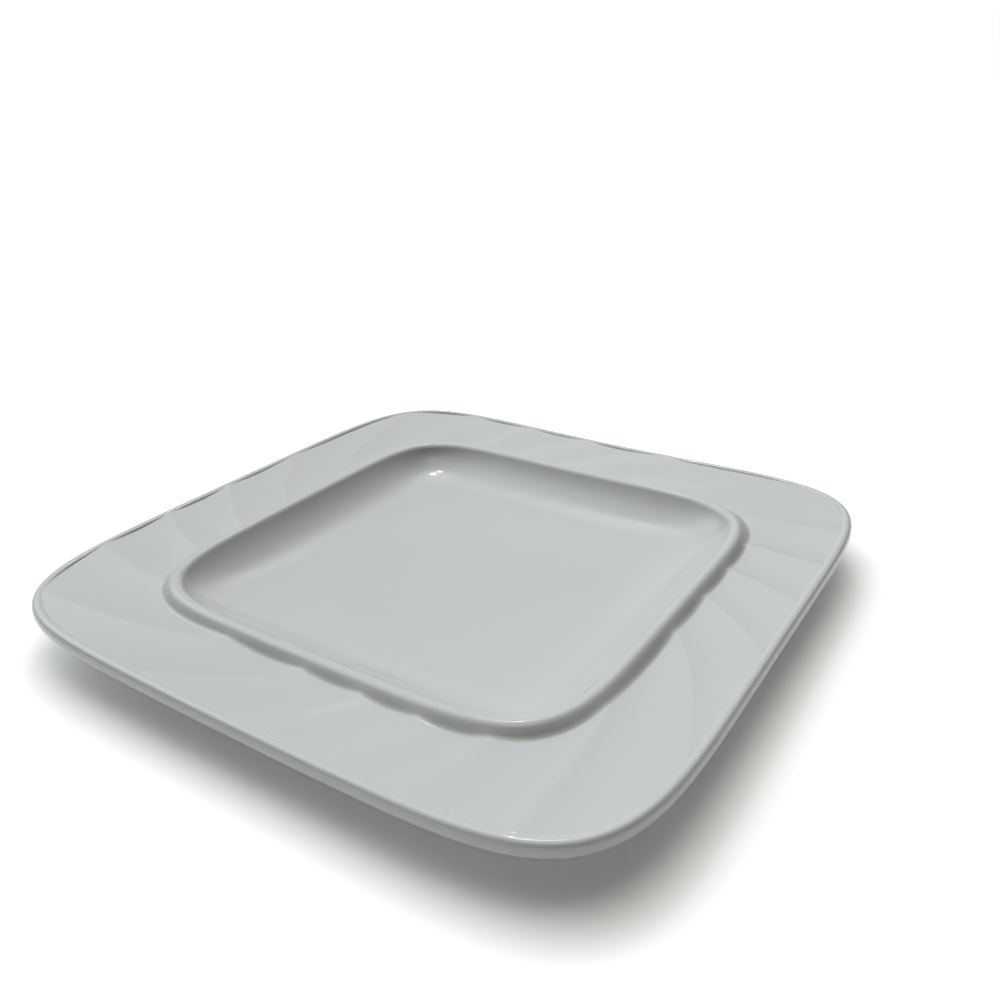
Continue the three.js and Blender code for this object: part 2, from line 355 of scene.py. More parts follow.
cove_half, cove_z, cove_slope = cove_curve()
floor_half = cove_half[0]
print("flat floor half-size", round(floor_half, 1))


def land_z(half):
    """Height of the flute creases across the rim, with the fine groove inside the bead."""
    out = half - base_half
    line = base_z + out * start_climb + out * out * (end_climb - start_climb) / (2 * rim_width)
    from_groove = (half - edge_centre_half + GROOVE_INSET) / GROOVE_WIDTH
    return line - GROOVE_DEPTH * np.exp(-from_groove * from_groove)


def bead_rows(turns, thin=0.0):
    """Points on the bead, by turn from straight up; it is a little fuller than a circle."""
    power = 2 / EDGE_FULLNESS
    out = EDGE_ASIDE * np.sign(np.sin(turns)) * abs(np.sin(turns)) ** power
    up = EDGE_TALL * np.sign(np.cos(turns)) * abs(np.cos(turns)) ** power
    return rows(edge_centre_half + out, edge_centre_z + up, 0.0, thin, out)


def skirt_rows():
    """The lip's outer side: its shoulder, a short wall and the fillet into the rim."""
    fillet_centre_half = base_half - BASE_RADIUS * math.sin(RIM_START_SLOPE)
    fillet_centre_z = base_z + BASE_RADIUS * math.cos(RIM_START_SLOPE)
    aside = fillet_centre_half - LIP_HALF
    above = fillet_centre_z - (LIP_Z - SHOULDER_RADIUS)
    touch = math.asin((SHOULDER_RADIUS + BASE_RADIUS) / math.hypot(aside, above))
    wall_slope = touch - math.atan2(above, aside)
    shoulder = round_rows(
        LIP_HALF,
        LIP_Z - SHOULDER_RADIUS,
        SHOULDER_RADIUS,
        np.linspace(0, wall_slope, ROUND_STEPS + 1),
        LIP_THINNESS,
    )
    fillet_turns = math.pi + np.linspace(wall_slope, -RIM_START_SLOPE, ROUND_STEPS + 1)
    fillet = round_rows(fillet_centre_half, fillet_centre_z, BASE_RADIUS, fillet_turns)
    wall = rows(
        np.linspace(shoulder[-1, 0], fillet[0, 0], WALL_STEPS + 1)[1:-1],
        np.linspace(shoulder[-1, 1], fillet[0, 1], WALL_STEPS + 1)[1:-1],
    )
    skirt = np.vstack([shoulder, wall, fillet])
    wall_half = shoulder[-1, 0]
    skirt[:, 2] = smooth_step((skirt[:, 0] - wall_half) / (base_half - wall_half))
    print("lip wall slopes", round(math.degrees(wall_slope)), "degrees")
    return skirt


def top_rows():
    """The glazed top, from the middle of the floor over the lip to the seam on the rim."""
    below_lip = cove_top_half - cove_half
    cove_width = below_lip * (below_lip / CORNER_SPREAD - CORNER_STEEPNESS)
    cove = rows(cove_half, cove_z, 0.0, 0.0, cove_width)
    floor_share = np.linspace(0, 1, FLOOR_STEPS + 1)[:-1]
    floor = rows(floor_share * floor_half, FLOOR_Z, 0.0, 0.0, floor_share * cove_width[0])
    lip_turns = np.linspace(-COVE_SLOPE, 0, LIP_STEPS + 1)[1:-1]
    lip = round_rows(LIP_HALF, LIP_Z - LIP_RADIUS, LIP_RADIUS, lip_turns, LIP_THINNESS)
    ring = np.vstack([lip, skirt_rows()])
    ring[:, 4] = ring[:, 0] - cove_top_half
    return np.vstack([floor, cove, ring, rim_land(np.array([seam_half]))])


def rim_land(half):
    """Points on the flute creases, which run into the bead at their outer end."""
    bead_inner = edge_centre_half - EDGE_ASIDE
    start_width, end_width = base_half - cove_top_half, -EDGE_ASIDE
    true_width = np.interp(half, [base_half, bead_inner], [start_width, end_width])
    from_centre = abs(half - edge_centre_half) / EDGE_ASIDE
    on_bead = from_centre < 1
    true_width = np.where(on_bead, half - edge_centre_half, true_width)
    bead_up = EDGE_TALL * np.clip(1 - from_centre**EDGE_FULLNESS, 0, 1) ** (1 / EDGE_FULLNESS)
    least_z = np.where(on_bead, edge_centre_z + bead_up, 0.0)
    middle = base_half + rim_width / 2
    scoop = 1 - (1 - FLUTE_END_SHARE) * smooth_step((half - middle) / (edge_centre_half - middle))
    return rows(half, land_z(half), scoop, 0.0, true_width, least_z)


def rim_rows():
    """The rim's top from the seam to the bead, then the bead round to its lowest point."""
    bead_inner = edge_centre_half - EDGE_ASIDE
    flutes = np.linspace(seam_half, bead_inner, RIM_STEPS + 1)[:-1]
    crest = np.linspace(bead_inner, edge_centre_half, CREST_STEPS + 1)
    bead = bead_rows(np.linspace(0, math.pi, BEAD_STEPS + 1)[1:], BEAD_THINNESS)
    return np.vstack([rim_land(np.r_[flutes, crest]), bead])


def under_rows():
    """The underside from the bead to the middle, softened where the rim runs into the dish."""
    back_half = cove_half + FLOOR_THICKNESS * np.sin(cove_slope)
    back_z = cove_z - FLOOR_THICKNESS * np.cos(cove_slope)
    below = back_z < flange_z
    rim_half = np.linspace(edge_centre_half, ledge_half, UNDER_STEPS + 1)
    rim_z = np.linspace(edge_centre_z - EDGE_TALL, flange_z, UNDER_STEPS + 1)
    half, z = np.r_[rim_half, back_half[below][::-1]], np.r_[rim_z, back_z[below][::-1]]
    for _ in range(SOFTEN_PASSES):
        z[1:-1] = (z[:-2] + 2 * z[1:-1] + z[2:]) / 4
        half[1:-1] = (half[:-2] + 2 * half[1:-1] + half[2:]) / 4
    return rows(np.r_[half, floor_half / 2, 0], np.r_[z, UNDERSIDE_Z, UNDERSIDE_Z])


under = under_rows()
seam_row = int(np.argmin(abs(under[:, 0] - ledge_half)))
seam_top = rim_land(np.array([seam_half]))
joint = [rows(under[seam_row, 0], ledge_z), rows(seam_half, ledge_z, 0.0, 0.0, seam_top[0, 4])]
rim_loop = np.vstack([rim_rows(), under[1 : seam_row + 1], *joint])
rim_template = np.vstack([rim_loop, rim_loop[:1]])
dish_template = np.vstack([top_rows(), *joint[::-1], under[seam_row:]])
print("template points: rim", len(rim_template), "dish", len(dish_template))

# %% [markdown]
# ## The sweep
# Geometry Nodes carry the template round the tray. A grid gets one row for each template point and one
# column for each meridian. The meridians follow the flutes: a crease turns clockwise as it runs outward,
# so its direction depends on its distance from the middle, and that depends on the direction again. A
# Repeat Zone settles the two by trying again and again. Every 24th meridian is a crease, and between two
# creases the clay is scooped out in a hollow. The creases drift from even spacing by up to a few degrees,
# and the hollows differ a little in depth, as hand work does.

# %% Rounded square nodes


def add_socket(tree, name, kind, value=None, in_out="INPUT"):
    """A named input or output of a node tree, with its starting value."""
    socket = tree.interface.new_socket(name, in_out=in_out, socket_type="NodeSocket" + kind)
    if value is not None:
        socket.default_value = value
    return socket


def rounded_square_tree():
    """Distance to a rounded square of half-size 1 in a direction, and that of a band of width 1 round it."""
    tree = bpy.data.node_groups.new("rounded_square", "GeometryNodeTree")
    add_socket(tree, "Direction", "Float")
    add_socket(tree, "Squareness", "Float", SQUARENESS)
    add_socket(tree, "Reach", "Float", in_out="OUTPUT")
    add_socket(tree, "Band", "Float", in_out="OUTPUT")
    given = add_node(tree, "NodeGroupInput").outputs
    less = add_node(tree, "ShaderNodeMath", {0: given["Squareness"], 1: 1.0}, operation="SUBTRACT")
    sizes, pulls = [], []
    for operation in ("COSINE", "SINE"):
        wave = add_node(tree, "ShaderNodeMath", {0: given["Direction"]}, operation=operation)
        size = add_node(tree, "ShaderNodeMath", {0: wave.outputs[0]}, operation="ABSOLUTE").outputs[0]
        pull = add_node(tree, "ShaderNodeMath", {0: size, 1: less.outputs[0]}, operation="POWER")
        sizes.append(size)
        pulls.append(pull.outputs[0])
    along = add_node(tree, "ShaderNodeCombineXYZ", {0: sizes[0], 1: sizes[1]})
    across = add_node(tree, "ShaderNodeCombineXYZ", {0: pulls[0], 1: pulls[1]})
    total = add_node(
        tree, "ShaderNodeVectorMath", {0: along.outputs[0], 1: across.outputs[0]}, operation="DOT_PRODUCT"
    )
    length = add_node(tree, "ShaderNodeVectorMath", {0: across.outputs[0]}, operation="LENGTH")
    root = add_node(tree, "ShaderNodeMath", {0: -1.0, 1: given["Squareness"]}, operation="DIVIDE")
    reach = add_node(
        tree, "ShaderNodeMath", {0: total.outputs["Value"], 1: root.outputs[0]}, operation="POWER"
    )
    band = add_node(
        tree, "ShaderNodeMath", {0: length.outputs["Value"], 1: total.outputs["Value"]}, operation="DIVIDE"
    )
    add_node(tree, "NodeGroupOutput", {"Reach": reach.outputs[0], "Band": band.outputs[0]})
    return tree


rounded_square = rounded_square_tree()
print("rounded square tree has", len(rounded_square.nodes), "nodes")

# %% Sweep nodes
FLUTE_COUNT, STEPS_PER_FLUTE = 21, 24
FIRST_CREASE = math.radians(49.8)
FLUTE_DRIFT, DRIFT_DIRECTION = math.radians(2.5), math.radians(50)
SLANT_RADIUS = 140.0
FLUTE_SLANT, FLUTE_CURL = math.radians(0.412), math.radians(0.00155)
CORNER_LIFT, SIDE_LIFT = 0.61, 1.46
WARP_EASE = 1.2
UNEVENNESS, UNEVEN_SPAN = 0.12, 45.0
LEAST_SCOOP, MOST_SCOOP, SCOOP_SEED = 0.9, 1.1, 7
CREST_SHARE = 0.35
BEAD_FILLET = 0.35
WELD_DISTANCE = 0.02
SETTLE_PASSES = 40
SHARP_ANGLE = math.radians(40)

SWEEP_INPUTS = (
    ("Flutes", "Int", FLUTE_COUNT),
    ("Steps", "Int", STEPS_PER_FLUTE),
    ("Squareness", "Float", SQUARENESS),
    ("Flute depth", "Float", FLUTE_DEPTH * MM),
    ("First crease", "Float", FIRST_CREASE),
    ("Drift", "Float", FLUTE_DRIFT),
    ("Drift direction", "Float", DRIFT_DIRECTION),
    ("Slant radius", "Float", SLANT_RADIUS * MM),
    ("Slant", "Float", FLUTE_SLANT / MM),
    ("Curl", "Float", FLUTE_CURL / MM**2),
    ("Rim start", "Float", base_half * MM),
    ("Rim end", "Float", edge_centre_half * MM),
    ("Warp start", "Float", floor_half * MM),
    ("Warp end", "Float", edge_centre_half * MM),
    ("Corner lift", "Float", CORNER_LIFT * MM),
    ("Side lift", "Float", SIDE_LIFT * MM),
    ("Unevenness", "Float", UNEVENNESS * MM),
    ("Bead fillet", "Float", BEAD_FILLET * MM),
    ("Passes", "Int", SETTLE_PASSES),
)


def settle_direction(tree, given, grid, half, meridian):
    """Stores each grid point's direction: where its meridian crosses its rounded square."""
    flutes = add_node(tree, "ShaderNodeMath", {0: meridian, 1: given["Flutes"]}, operation="DIVIDE")
    share = add_node(tree, "ShaderNodeMath", {0: flutes.outputs[0], 1: given["Steps"]}, operation="DIVIDE")
    turned = add_node(tree, "ShaderNodeMath", {0: share.outputs[0], 1: 2 * math.pi}, operation="MULTIPLY")
    even = add_node(
        tree, "ShaderNodeMath", {0: given["First crease"], 1: turned.outputs[0]}, operation="SUBTRACT"
    )
    from_side = add_node(
        tree, "ShaderNodeMath", {0: even.outputs[0], 1: given["Drift direction"]}, operation="SUBTRACT"
    )
    swing = add_node(tree, "ShaderNodeMath", {0: from_side.outputs[0]}, operation="COSINE")
    drift = add_node(
        tree, "ShaderNodeMath", {0: swing.outputs[0], 1: given["Drift"]}, operation="MULTIPLY"
    )
    start = add_node(
        tree, "ShaderNodeMath", {0: even.outputs[0], 1: drift.outputs[0]}, operation="SUBTRACT"
    )
    on_rim = add_node(
        tree, "ShaderNodeClamp", {"Value": half, "Min": given["Rim start"], "Max": given["Rim end"]}
    )
    first = add_node(
        tree,
        "GeometryNodeStoreNamedAttribute",
        {"Geometry": grid, "Name": "direction", "Value": start.outputs[0]},
    )
    loop_in = tree.nodes.new("GeometryNodeRepeatInput")
    loop_out = tree.nodes.new("GeometryNodeRepeatOutput")
    loop_in.pair_with_output(loop_out)
    tree.links.new(given["Passes"], loop_in.inputs["Iterations"])
    tree.links.new(first.outputs[0], loop_in.inputs["Geometry"])
    now = add_node(tree, "GeometryNodeInputNamedAttribute", {"Name": "direction"})
    reach = add_node(
        tree,
        "GeometryNodeGroup",
        {"Direction": now.outputs["Attribute"], "Squareness": given["Squareness"]},
        node_tree=rounded_square,
    )
    radius = add_node(
        tree, "ShaderNodeMath", {0: on_rim.outputs[0], 1: reach.outputs["Reach"]}, operation="MULTIPLY"
    )
    out = add_node(
        tree, "ShaderNodeMath", {0: radius.outputs[0], 1: given["Slant radius"]}, operation="SUBTRACT"
    )
    curled = add_node(tree, "ShaderNodeMath", {0: out.outputs[0], 1: given["Curl"]}, operation="MULTIPLY")
    rate = add_node(
        tree, "ShaderNodeMath", {0: given["Slant"], 1: curled.outputs[0]}, operation="SUBTRACT"
    )
    crease_turn = add_node(
        tree, "ShaderNodeMath", {0: out.outputs[0], 1: rate.outputs[0]}, operation="MULTIPLY"
    )
    better = add_node(
        tree, "ShaderNodeMath", {0: start.outputs[0], 1: crease_turn.outputs[0]}, operation="SUBTRACT"
    )
    again = add_node(
        tree,
        "GeometryNodeStoreNamedAttribute",
        {"Geometry": loop_in.outputs["Geometry"], "Name": "direction", "Value": better.outputs[0]},
    )
    tree.links.new(again.outputs[0], loop_out.inputs["Geometry"])
    return loop_out.outputs["Geometry"]


def scoop_share(tree, given, meridian):
    """How deep the hollow is on a meridian: none on a crease, full midway, a little different in each."""
    flute = add_node(tree, "ShaderNodeMath", {0: meridian, 1: given["Steps"]}, operation="DIVIDE")
    across = add_node(tree, "ShaderNodeMath", {0: flute.outputs[0]}, operation="FRACT")
    centred = add_node(
        tree, "ShaderNodeMath", {0: across.outputs[0], 1: 2.0, 2: -1.0}, operation="MULTIPLY_ADD"
    )
    square = add_node(
        tree, "ShaderNodeMath", {0: centred.outputs[0], 1: centred.outputs[0]}, operation="MULTIPLY"
    )
    hollow = add_node(tree, "ShaderNodeMath", {0: 1.0, 1: square.outputs[0]}, operation="SUBTRACT")
    number = add_node(tree, "ShaderNodeMath", {0: flute.outputs[0]}, operation="FLOOR")
    wrapped = add_node(
        tree, "ShaderNodeMath", {0: number.outputs[0], 1: given["Flutes"]}, operation="MODULO"
    )
    by_hand = add_node(
        tree,
        "FunctionNodeRandomValue",
        {2: LEAST_SCOOP, 3: MOST_SCOOP, "Seed": SCOOP_SEED, "ID": wrapped.outputs[0]},
        data_type="FLOAT",
    )
    share = add_node(
        tree, "ShaderNodeMath", {0: hollow.outputs[0], 1: by_hand.outputs[1]}, operation="MULTIPLY"
    )
    return share.outputs[0]


def kiln_warp(tree, given, half, direction):
    """The height that the kiln added: corners up a little, and two opposite sides up, two down."""
    out = add_node(
        tree,
        "ShaderNodeMapRange",
        {"Value": half, 1: given["Warp start"], 2: given["Warp end"], 3: 0.0, 4: 1.0},
        clamp=False,
    )
    past = add_node(tree, "ShaderNodeMath", {0: out.outputs[0], 1: 0.0}, operation="MAXIMUM")
    eased = add_node(tree, "ShaderNodeMath", {0: past.outputs[0], 1: WARP_EASE}, operation="POWER")
    waves = []
    for count in (4.0, 2.0):
        times = add_node(tree, "ShaderNodeMath", {0: direction, 1: count}, operation="MULTIPLY")
        waves.append(add_node(tree, "ShaderNodeMath", {0: times.outputs[0]}, operation="COSINE").outputs[0])
    corner = add_node(tree, "ShaderNodeMath", {0: waves[0], 1: -0.5, 2: 0.5}, operation="MULTIPLY_ADD")
    corner = add_node(
        tree, "ShaderNodeMath", {0: corner.outputs[0], 1: given["Corner lift"]}, operation="MULTIPLY"
    )
    total = add_node(
        tree,
        "ShaderNodeMath",
        {0: waves[1], 1: given["Side lift"], 2: corner.outputs[0]},
        operation="MULTIPLY_ADD",
    )
    warp = add_node(tree, "ShaderNodeMath", {0: total.outputs[0], 1: eased.outputs[0]}, operation="MULTIPLY")
    return warp.outputs[0]


def sweep_tree():
    """Sweeps a template round the tray, with its flutes, and closes it into one skin."""
    tree = bpy.data.node_groups.new("template_sweep", "GeometryNodeTree")
    add_socket(tree, "Template", "Geometry")
    for name, kind, value in SWEEP_INPUTS:
        add_socket(tree, name, kind, value)
    add_socket(tree, "Finish", "Material")
    add_socket(tree, "Skin", "Geometry", in_out="OUTPUT")
    given = add_node(tree, "NodeGroupInput").outputs

    count = add_node(tree, "GeometryNodeAttributeDomainSize", {0: given["Template"]}, component="MESH")
    columns = add_node(
        tree, "ShaderNodeMath", {0: given["Flutes"], 1: given["Steps"], 2: 1.0}, operation="MULTIPLY_ADD"
    )
    grid = add_node(
        tree,
        "GeometryNodeMeshGrid",
        {"Vertices X": count.outputs["Point Count"], "Vertices Y": columns.outputs[0]},
    )
    index = add_node(tree, "GeometryNodeInputIndex")
    ratio = add_node(
        tree, "ShaderNodeMath", {0: index.outputs[0], 1: columns.outputs[0]}, operation="DIVIDE"
    )
    row = add_node(tree, "ShaderNodeMath", {0: ratio.outputs[0]}, operation="FLOOR")
    meridian = add_node(
        tree, "ShaderNodeMath", {0: index.outputs[0], 1: columns.outputs[0]}, operation="MODULO"
    )
    picked = {}
    for name in SHAPE_COLUMNS:
        source = add_node(tree, "GeometryNodeInputNamedAttribute", {"Name": name}).outputs["Attribute"]
        picked[name] = add_node(
            tree,
            "GeometryNodeSampleIndex",
            {"Geometry": given["Template"], "Value": source, "Index": row.outputs[0]},
            data_type="FLOAT",
        ).outputs[0]
    half = picked["half"]

    settled = settle_direction(tree, given, grid.outputs["Mesh"], half, meridian.outputs[0])
    direction = add_node(tree, "GeometryNodeInputNamedAttribute", {"Name": "direction"}).outputs["Attribute"]
    reach = add_node(
        tree,
        "GeometryNodeGroup",
        {"Direction": direction, "Squareness": given["Squareness"]},
        node_tree=rounded_square,
    )
    ring = add_node(tree, "ShaderNodeMath", {0: half, 1: picked["true_width"]}, operation="SUBTRACT")
    ring = add_node(
        tree, "ShaderNodeMath", {0: ring.outputs[0], 1: reach.outputs["Reach"]}, operation="MULTIPLY"
    )
    radius = add_node(
        tree,
        "ShaderNodeMath",
        {0: picked["true_width"], 1: reach.outputs["Band"], 2: ring.outputs[0]},
        operation="MULTIPLY_ADD",
    )
    flat = []
    for operation in ("COSINE", "SINE"):
        wave = add_node(tree, "ShaderNodeMath", {0: direction}, operation=operation)
        flat.append(
            add_node(
                tree, "ShaderNodeMath", {0: radius.outputs[0], 1: wave.outputs[0]}, operation="MULTIPLY"
            ).outputs[0]
        )

    share = scoop_share(tree, given, meridian.outputs[0])
    taken = add_node(tree, "ShaderNodeMath", {0: picked["scoop"], 1: share}, operation="MULTIPLY")
    depth = add_node(
        tree, "ShaderNodeMath", {0: taken.outputs[0], 1: given["Flute depth"]}, operation="MULTIPLY"
    )
    scooped = add_node(
        tree, "ShaderNodeMath", {0: picked["z"], 1: depth.outputs[0]}, operation="SUBTRACT"
    )
    cut = add_node(
        tree,
        "ShaderNodeMath",
        {0: scooped.outputs[0], 1: picked["least_z"], 2: given["Bead fillet"]},
        operation="SMOOTH_MAX",
    )
    warp = kiln_warp(tree, given, half, direction)
    warped = add_node(tree, "ShaderNodeMath", {0: cut.outputs[0], 1: warp}, operation="ADD")
    even = add_node(tree, "ShaderNodeCombineXYZ", {0: flat[0], 1: flat[1], 2: warped.outputs[0]})
    lumps = add_node(
        tree,
        "ShaderNodeTexNoise",
        {"Vector": even.outputs[0], "Scale": 1 / (UNEVEN_SPAN * MM), "Detail": 1.0},
    )
    lump = add_node(
        tree, "ShaderNodeMath", {0: lumps.outputs[0], 1: 2.0, 2: -1.0}, operation="MULTIPLY_ADD"
    )
    raised = add_node(
        tree,
        "ShaderNodeMath",
        {0: lump.outputs[0], 1: given["Unevenness"], 2: warped.outputs[0]},
        operation="MULTIPLY_ADD",
    )
    final = add_node(tree, "ShaderNodeCombineXYZ", {0: flat[0], 1: flat[1], 2: raised.outputs[0]})
    placed = add_node(
        tree, "GeometryNodeSetPosition", {"Geometry": settled, "Position": final.outputs[0]}
    )

    on_crest = add_node(
        tree, "ShaderNodeMapRange", {"Value": share, 1: 0.0, 2: CREST_SHARE, 3: 1.0, 4: 0.0}
    )
    crest = add_node(
        tree, "ShaderNodeMath", {0: on_crest.outputs[0], 1: picked["scoop"]}, operation="MULTIPLY"
    )
    thin = add_node(
        tree, "ShaderNodeMath", {0: crest.outputs[0], 1: picked["thin"]}, operation="MAXIMUM"
    )
    marked = add_node(
        tree,
        "GeometryNodeStoreNamedAttribute",
        {"Geometry": placed.outputs[0], "Name": "thin_glaze", "Value": thin.outputs[0]},
    )
    bare = add_node(
        tree, "GeometryNodeRemoveAttribute", {"Geometry": marked.outputs[0], "Name": "direction"}
    )
    closed = add_node(
        tree, "GeometryNodeMergeByDistance", {"Geometry": bare.outputs[0], "Distance": WELD_DISTANCE * MM}
    )
    outward = add_node(tree, "GeometryNodeFlipFaces", {"Mesh": closed.outputs[0]})
    angle = add_node(tree, "GeometryNodeInputMeshEdgeAngle")
    gentle = add_node(
        tree,
        "FunctionNodeCompare",
        {0: angle.outputs["Unsigned Angle"], 1: SHARP_ANGLE},
        operation="LESS_THAN",
    )
    faces = add_node(
        tree, "GeometryNodeSetShadeSmooth", {"Geometry": outward.outputs[0], "Shade Smooth": True}
    )
    edges = add_node(
        tree,
        "GeometryNodeSetShadeSmooth",
        {"Geometry": faces.outputs[0], "Shade Smooth": gentle.outputs[0]},
        domain="EDGE",
    )
    real = add_node(tree, "GeometryNodeRealizeInstances", {"Geometry": edges.outputs[0]})
    finished = add_node(
        tree, "GeometryNodeSetMaterial", {"Geometry": real.outputs[0], "Material": given["Finish"]}
    )
    add_node(tree, "NodeGroupOutput", {"Skin": finished.outputs[0]})
    return tree


template_sweep = sweep_tree()
print("sweep tree has", len(template_sweep.nodes), "nodes")

# %% Sweep a template into a piece


def swept_piece(name, template, finish, **changes):
    """Sweeps template points round the tray and returns the result as a plain mesh object."""
    wire = bpy.data.meshes.new(name + "_template")
    points = [(half * MM, 0, z * MM) for half, z in template[:, :2]]
    wire.from_pydata(points, [(i, i + 1) for i in range(len(points) - 1)], [])
    for label, values in zip(SHAPE_COLUMNS, template.T):
        unit = 1 if label in ("scoop", "thin") else MM
        attribute = wire.attributes.new(label, "FLOAT", "POINT")
        attribute.data.foreach_set("value", np.ascontiguousarray(values * unit, np.float32))
    piece = bpy.data.objects.new(name, wire)
    bpy.context.scene.collection.objects.link(piece)
    sweep = piece.modifiers.new("sweep", "NODES")
    sweep.node_group = template_sweep
    sockets = {s.name: s.identifier for s in template_sweep.interface.items_tree if s.in_out == "INPUT"}
    sweep[sockets["Finish"]] = finish
    for label, value in changes.items():
        sweep[sockets[label.replace("_", " ")]] = value
    seen = piece.evaluated_get(bpy.context.evaluated_depsgraph_get())
    skin = bpy.data.meshes.new_from_object(seen)
    piece.modifiers.remove(sweep)
    piece.data = skin
    bpy.data.meshes.remove(wire)
    skin.name = name
    volume = sum(p.area * p.center.dot(p.normal) for p in skin.polygons) / 3
    print(name, "has", len(skin.polygons), "faces and holds", round(volume / MM**3 / 1000), "cubic cm")
    return piece


rim = swept_piece("glazed_rim", rim_template, glaze)
dish = swept_piece("glazed_dish", dish_template, glaze)

# %% [markdown]
# ## Foot ring and pads
# The foot ring is a plain ring of bare clay with softened edges, swept in the same way but without
# flutes. The pads are small discs pressed on under its corners.

# %% Foot ring
FOOT_WIDTH, TREAD_ROUND, FOOT_OVERLAP = 9.0, 1.0, 0.4
TREAD_STEPS = 6
foot_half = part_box("foot_ring")[1].x / MM
foot_inner = foot_half - FOOT_WIDTH


def foot_template():
    """A closed ring section with rounded lower corners."""
    quarter = np.linspace(0, math.pi / 2, TREAD_STEPS + 1)
    round_z = TREAD_Z + TREAD_ROUND
    outer = round_rows(foot_half - TREAD_ROUND, round_z, TREAD_ROUND, math.pi / 2 + quarter)
    inner = round_rows(foot_inner + TREAD_ROUND, round_z, TREAD_ROUND, math.pi + quarter)
    top = UNDERSIDE_Z + FOOT_OVERLAP
    loop = np.vstack([rows(foot_inner, top), rows(foot_half, top), outer, inner])
    return np.vstack([loop, loop[:1]])


foot = swept_piece("bare_foot_ring", foot_template(), bare_clay, Unevenness=0.0)

# %% Pads
PAD_ROUND = 0.45
PAD_SIDES, PAD_STEPS = 48, 5


def pad_piece(node, name):
    """A soft disc with a rounded lower rim, where the CAD pad is."""
    low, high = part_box(node)
    centre = (low + high) / 2
    radius = (high.x - low.x) / 2
    soft = PAD_ROUND * MM
    turns = np.linspace(0, math.pi / 2, PAD_STEPS + 1)
    ring_points = [(radius - soft + soft * math.sin(t), low.z + soft - soft * math.cos(t)) for t in turns]
    ring_points.append((radius, high.z))
    points = [(centre.x, centre.y, low.z)]
    for distance, z in ring_points:
        for i in range(PAD_SIDES):
            a = 2 * math.pi * i / PAD_SIDES
            points.append((centre.x + distance * math.cos(a), centre.y + distance * math.sin(a), z))
    points.append((centre.x, centre.y, high.z))
    last = len(points) - 1
    faces = []
    for i in range(PAD_SIDES):
        j = (i + 1) % PAD_SIDES
        faces.append((0, 1 + j, 1 + i))
        for k in range(len(ring_points) - 1):
            a, b = 1 + k * PAD_SIDES, 1 + (k + 1) * PAD_SIDES
            faces.append((a + i, a + j, b + j, b + i))
        top = 1 + (len(ring_points) - 1) * PAD_SIDES
        faces.append((top + i, top + j, last))
    mesh = bpy.data.meshes.new(name)
    mesh.from_pydata(points, [], faces)
    mesh.materials.append(silicone)
    mesh.shade_smooth()
    mesh.set_sharp_from_angle(angle=SHARP_ANGLE)
    piece = bpy.data.objects.new(name, mesh)
    bpy.context.scene.collection.objects.link(piece)
    return piece


pads = [pad_piece(f"foot_pad_{i}", f"silicone_pad_{i}") for i in range(1, 5)]
print("made", len(pads), "pads")

# %% [markdown]
# ## Stage and light
# The photograph has a white ground with a soft shadow that falls towards the viewer and to the right, so
# the light comes from the far left. Glaze mirrors its lamps, and in most of what it mirrors here there is
# no edge: the light is a broad glow, as from a big window behind a thin curtain. The world makes such a
# glow from five soft lobes, each bright towards one direction and fading away from it: four for the
# window, and a slightly warm one for the ceiling. Two small ceiling lamps leave the glints on the bead
# and in the far corner of the cove. The floor is white paper. To the camera and in reflections it also
# glows, so that it reaches full white away from the tray. Close round the tray's outline it glows less,
# which paints a shadow round the tray on top of the real one.

# %% Paper floor
FLOOR_SIDE = 8.0
# Painted shadow: the floor glows less in a band round the tray's outline, on top of the real shadow that the
# lobes cast.
PAINTED_SHADOW_GLOW, OPEN_GLOW = 0.10, 0.46
GLOW_START, GLOW_END = 146.0, 172.0


def seen_directly(tree):
    """1 for what the camera sees directly, in a reflection or through glass, and 0 for light's own paths."""
    ray = add_node(tree, "ShaderNodeLightPath").outputs
    shiny = add_node(
        tree, "ShaderNodeMath", {0: ray["Is Glossy Ray"], 1: ray["Is Transmission Ray"]}, operation="MAXIMUM"
    )
    return ray["Is Camera Ray"], shiny.outputs[0]


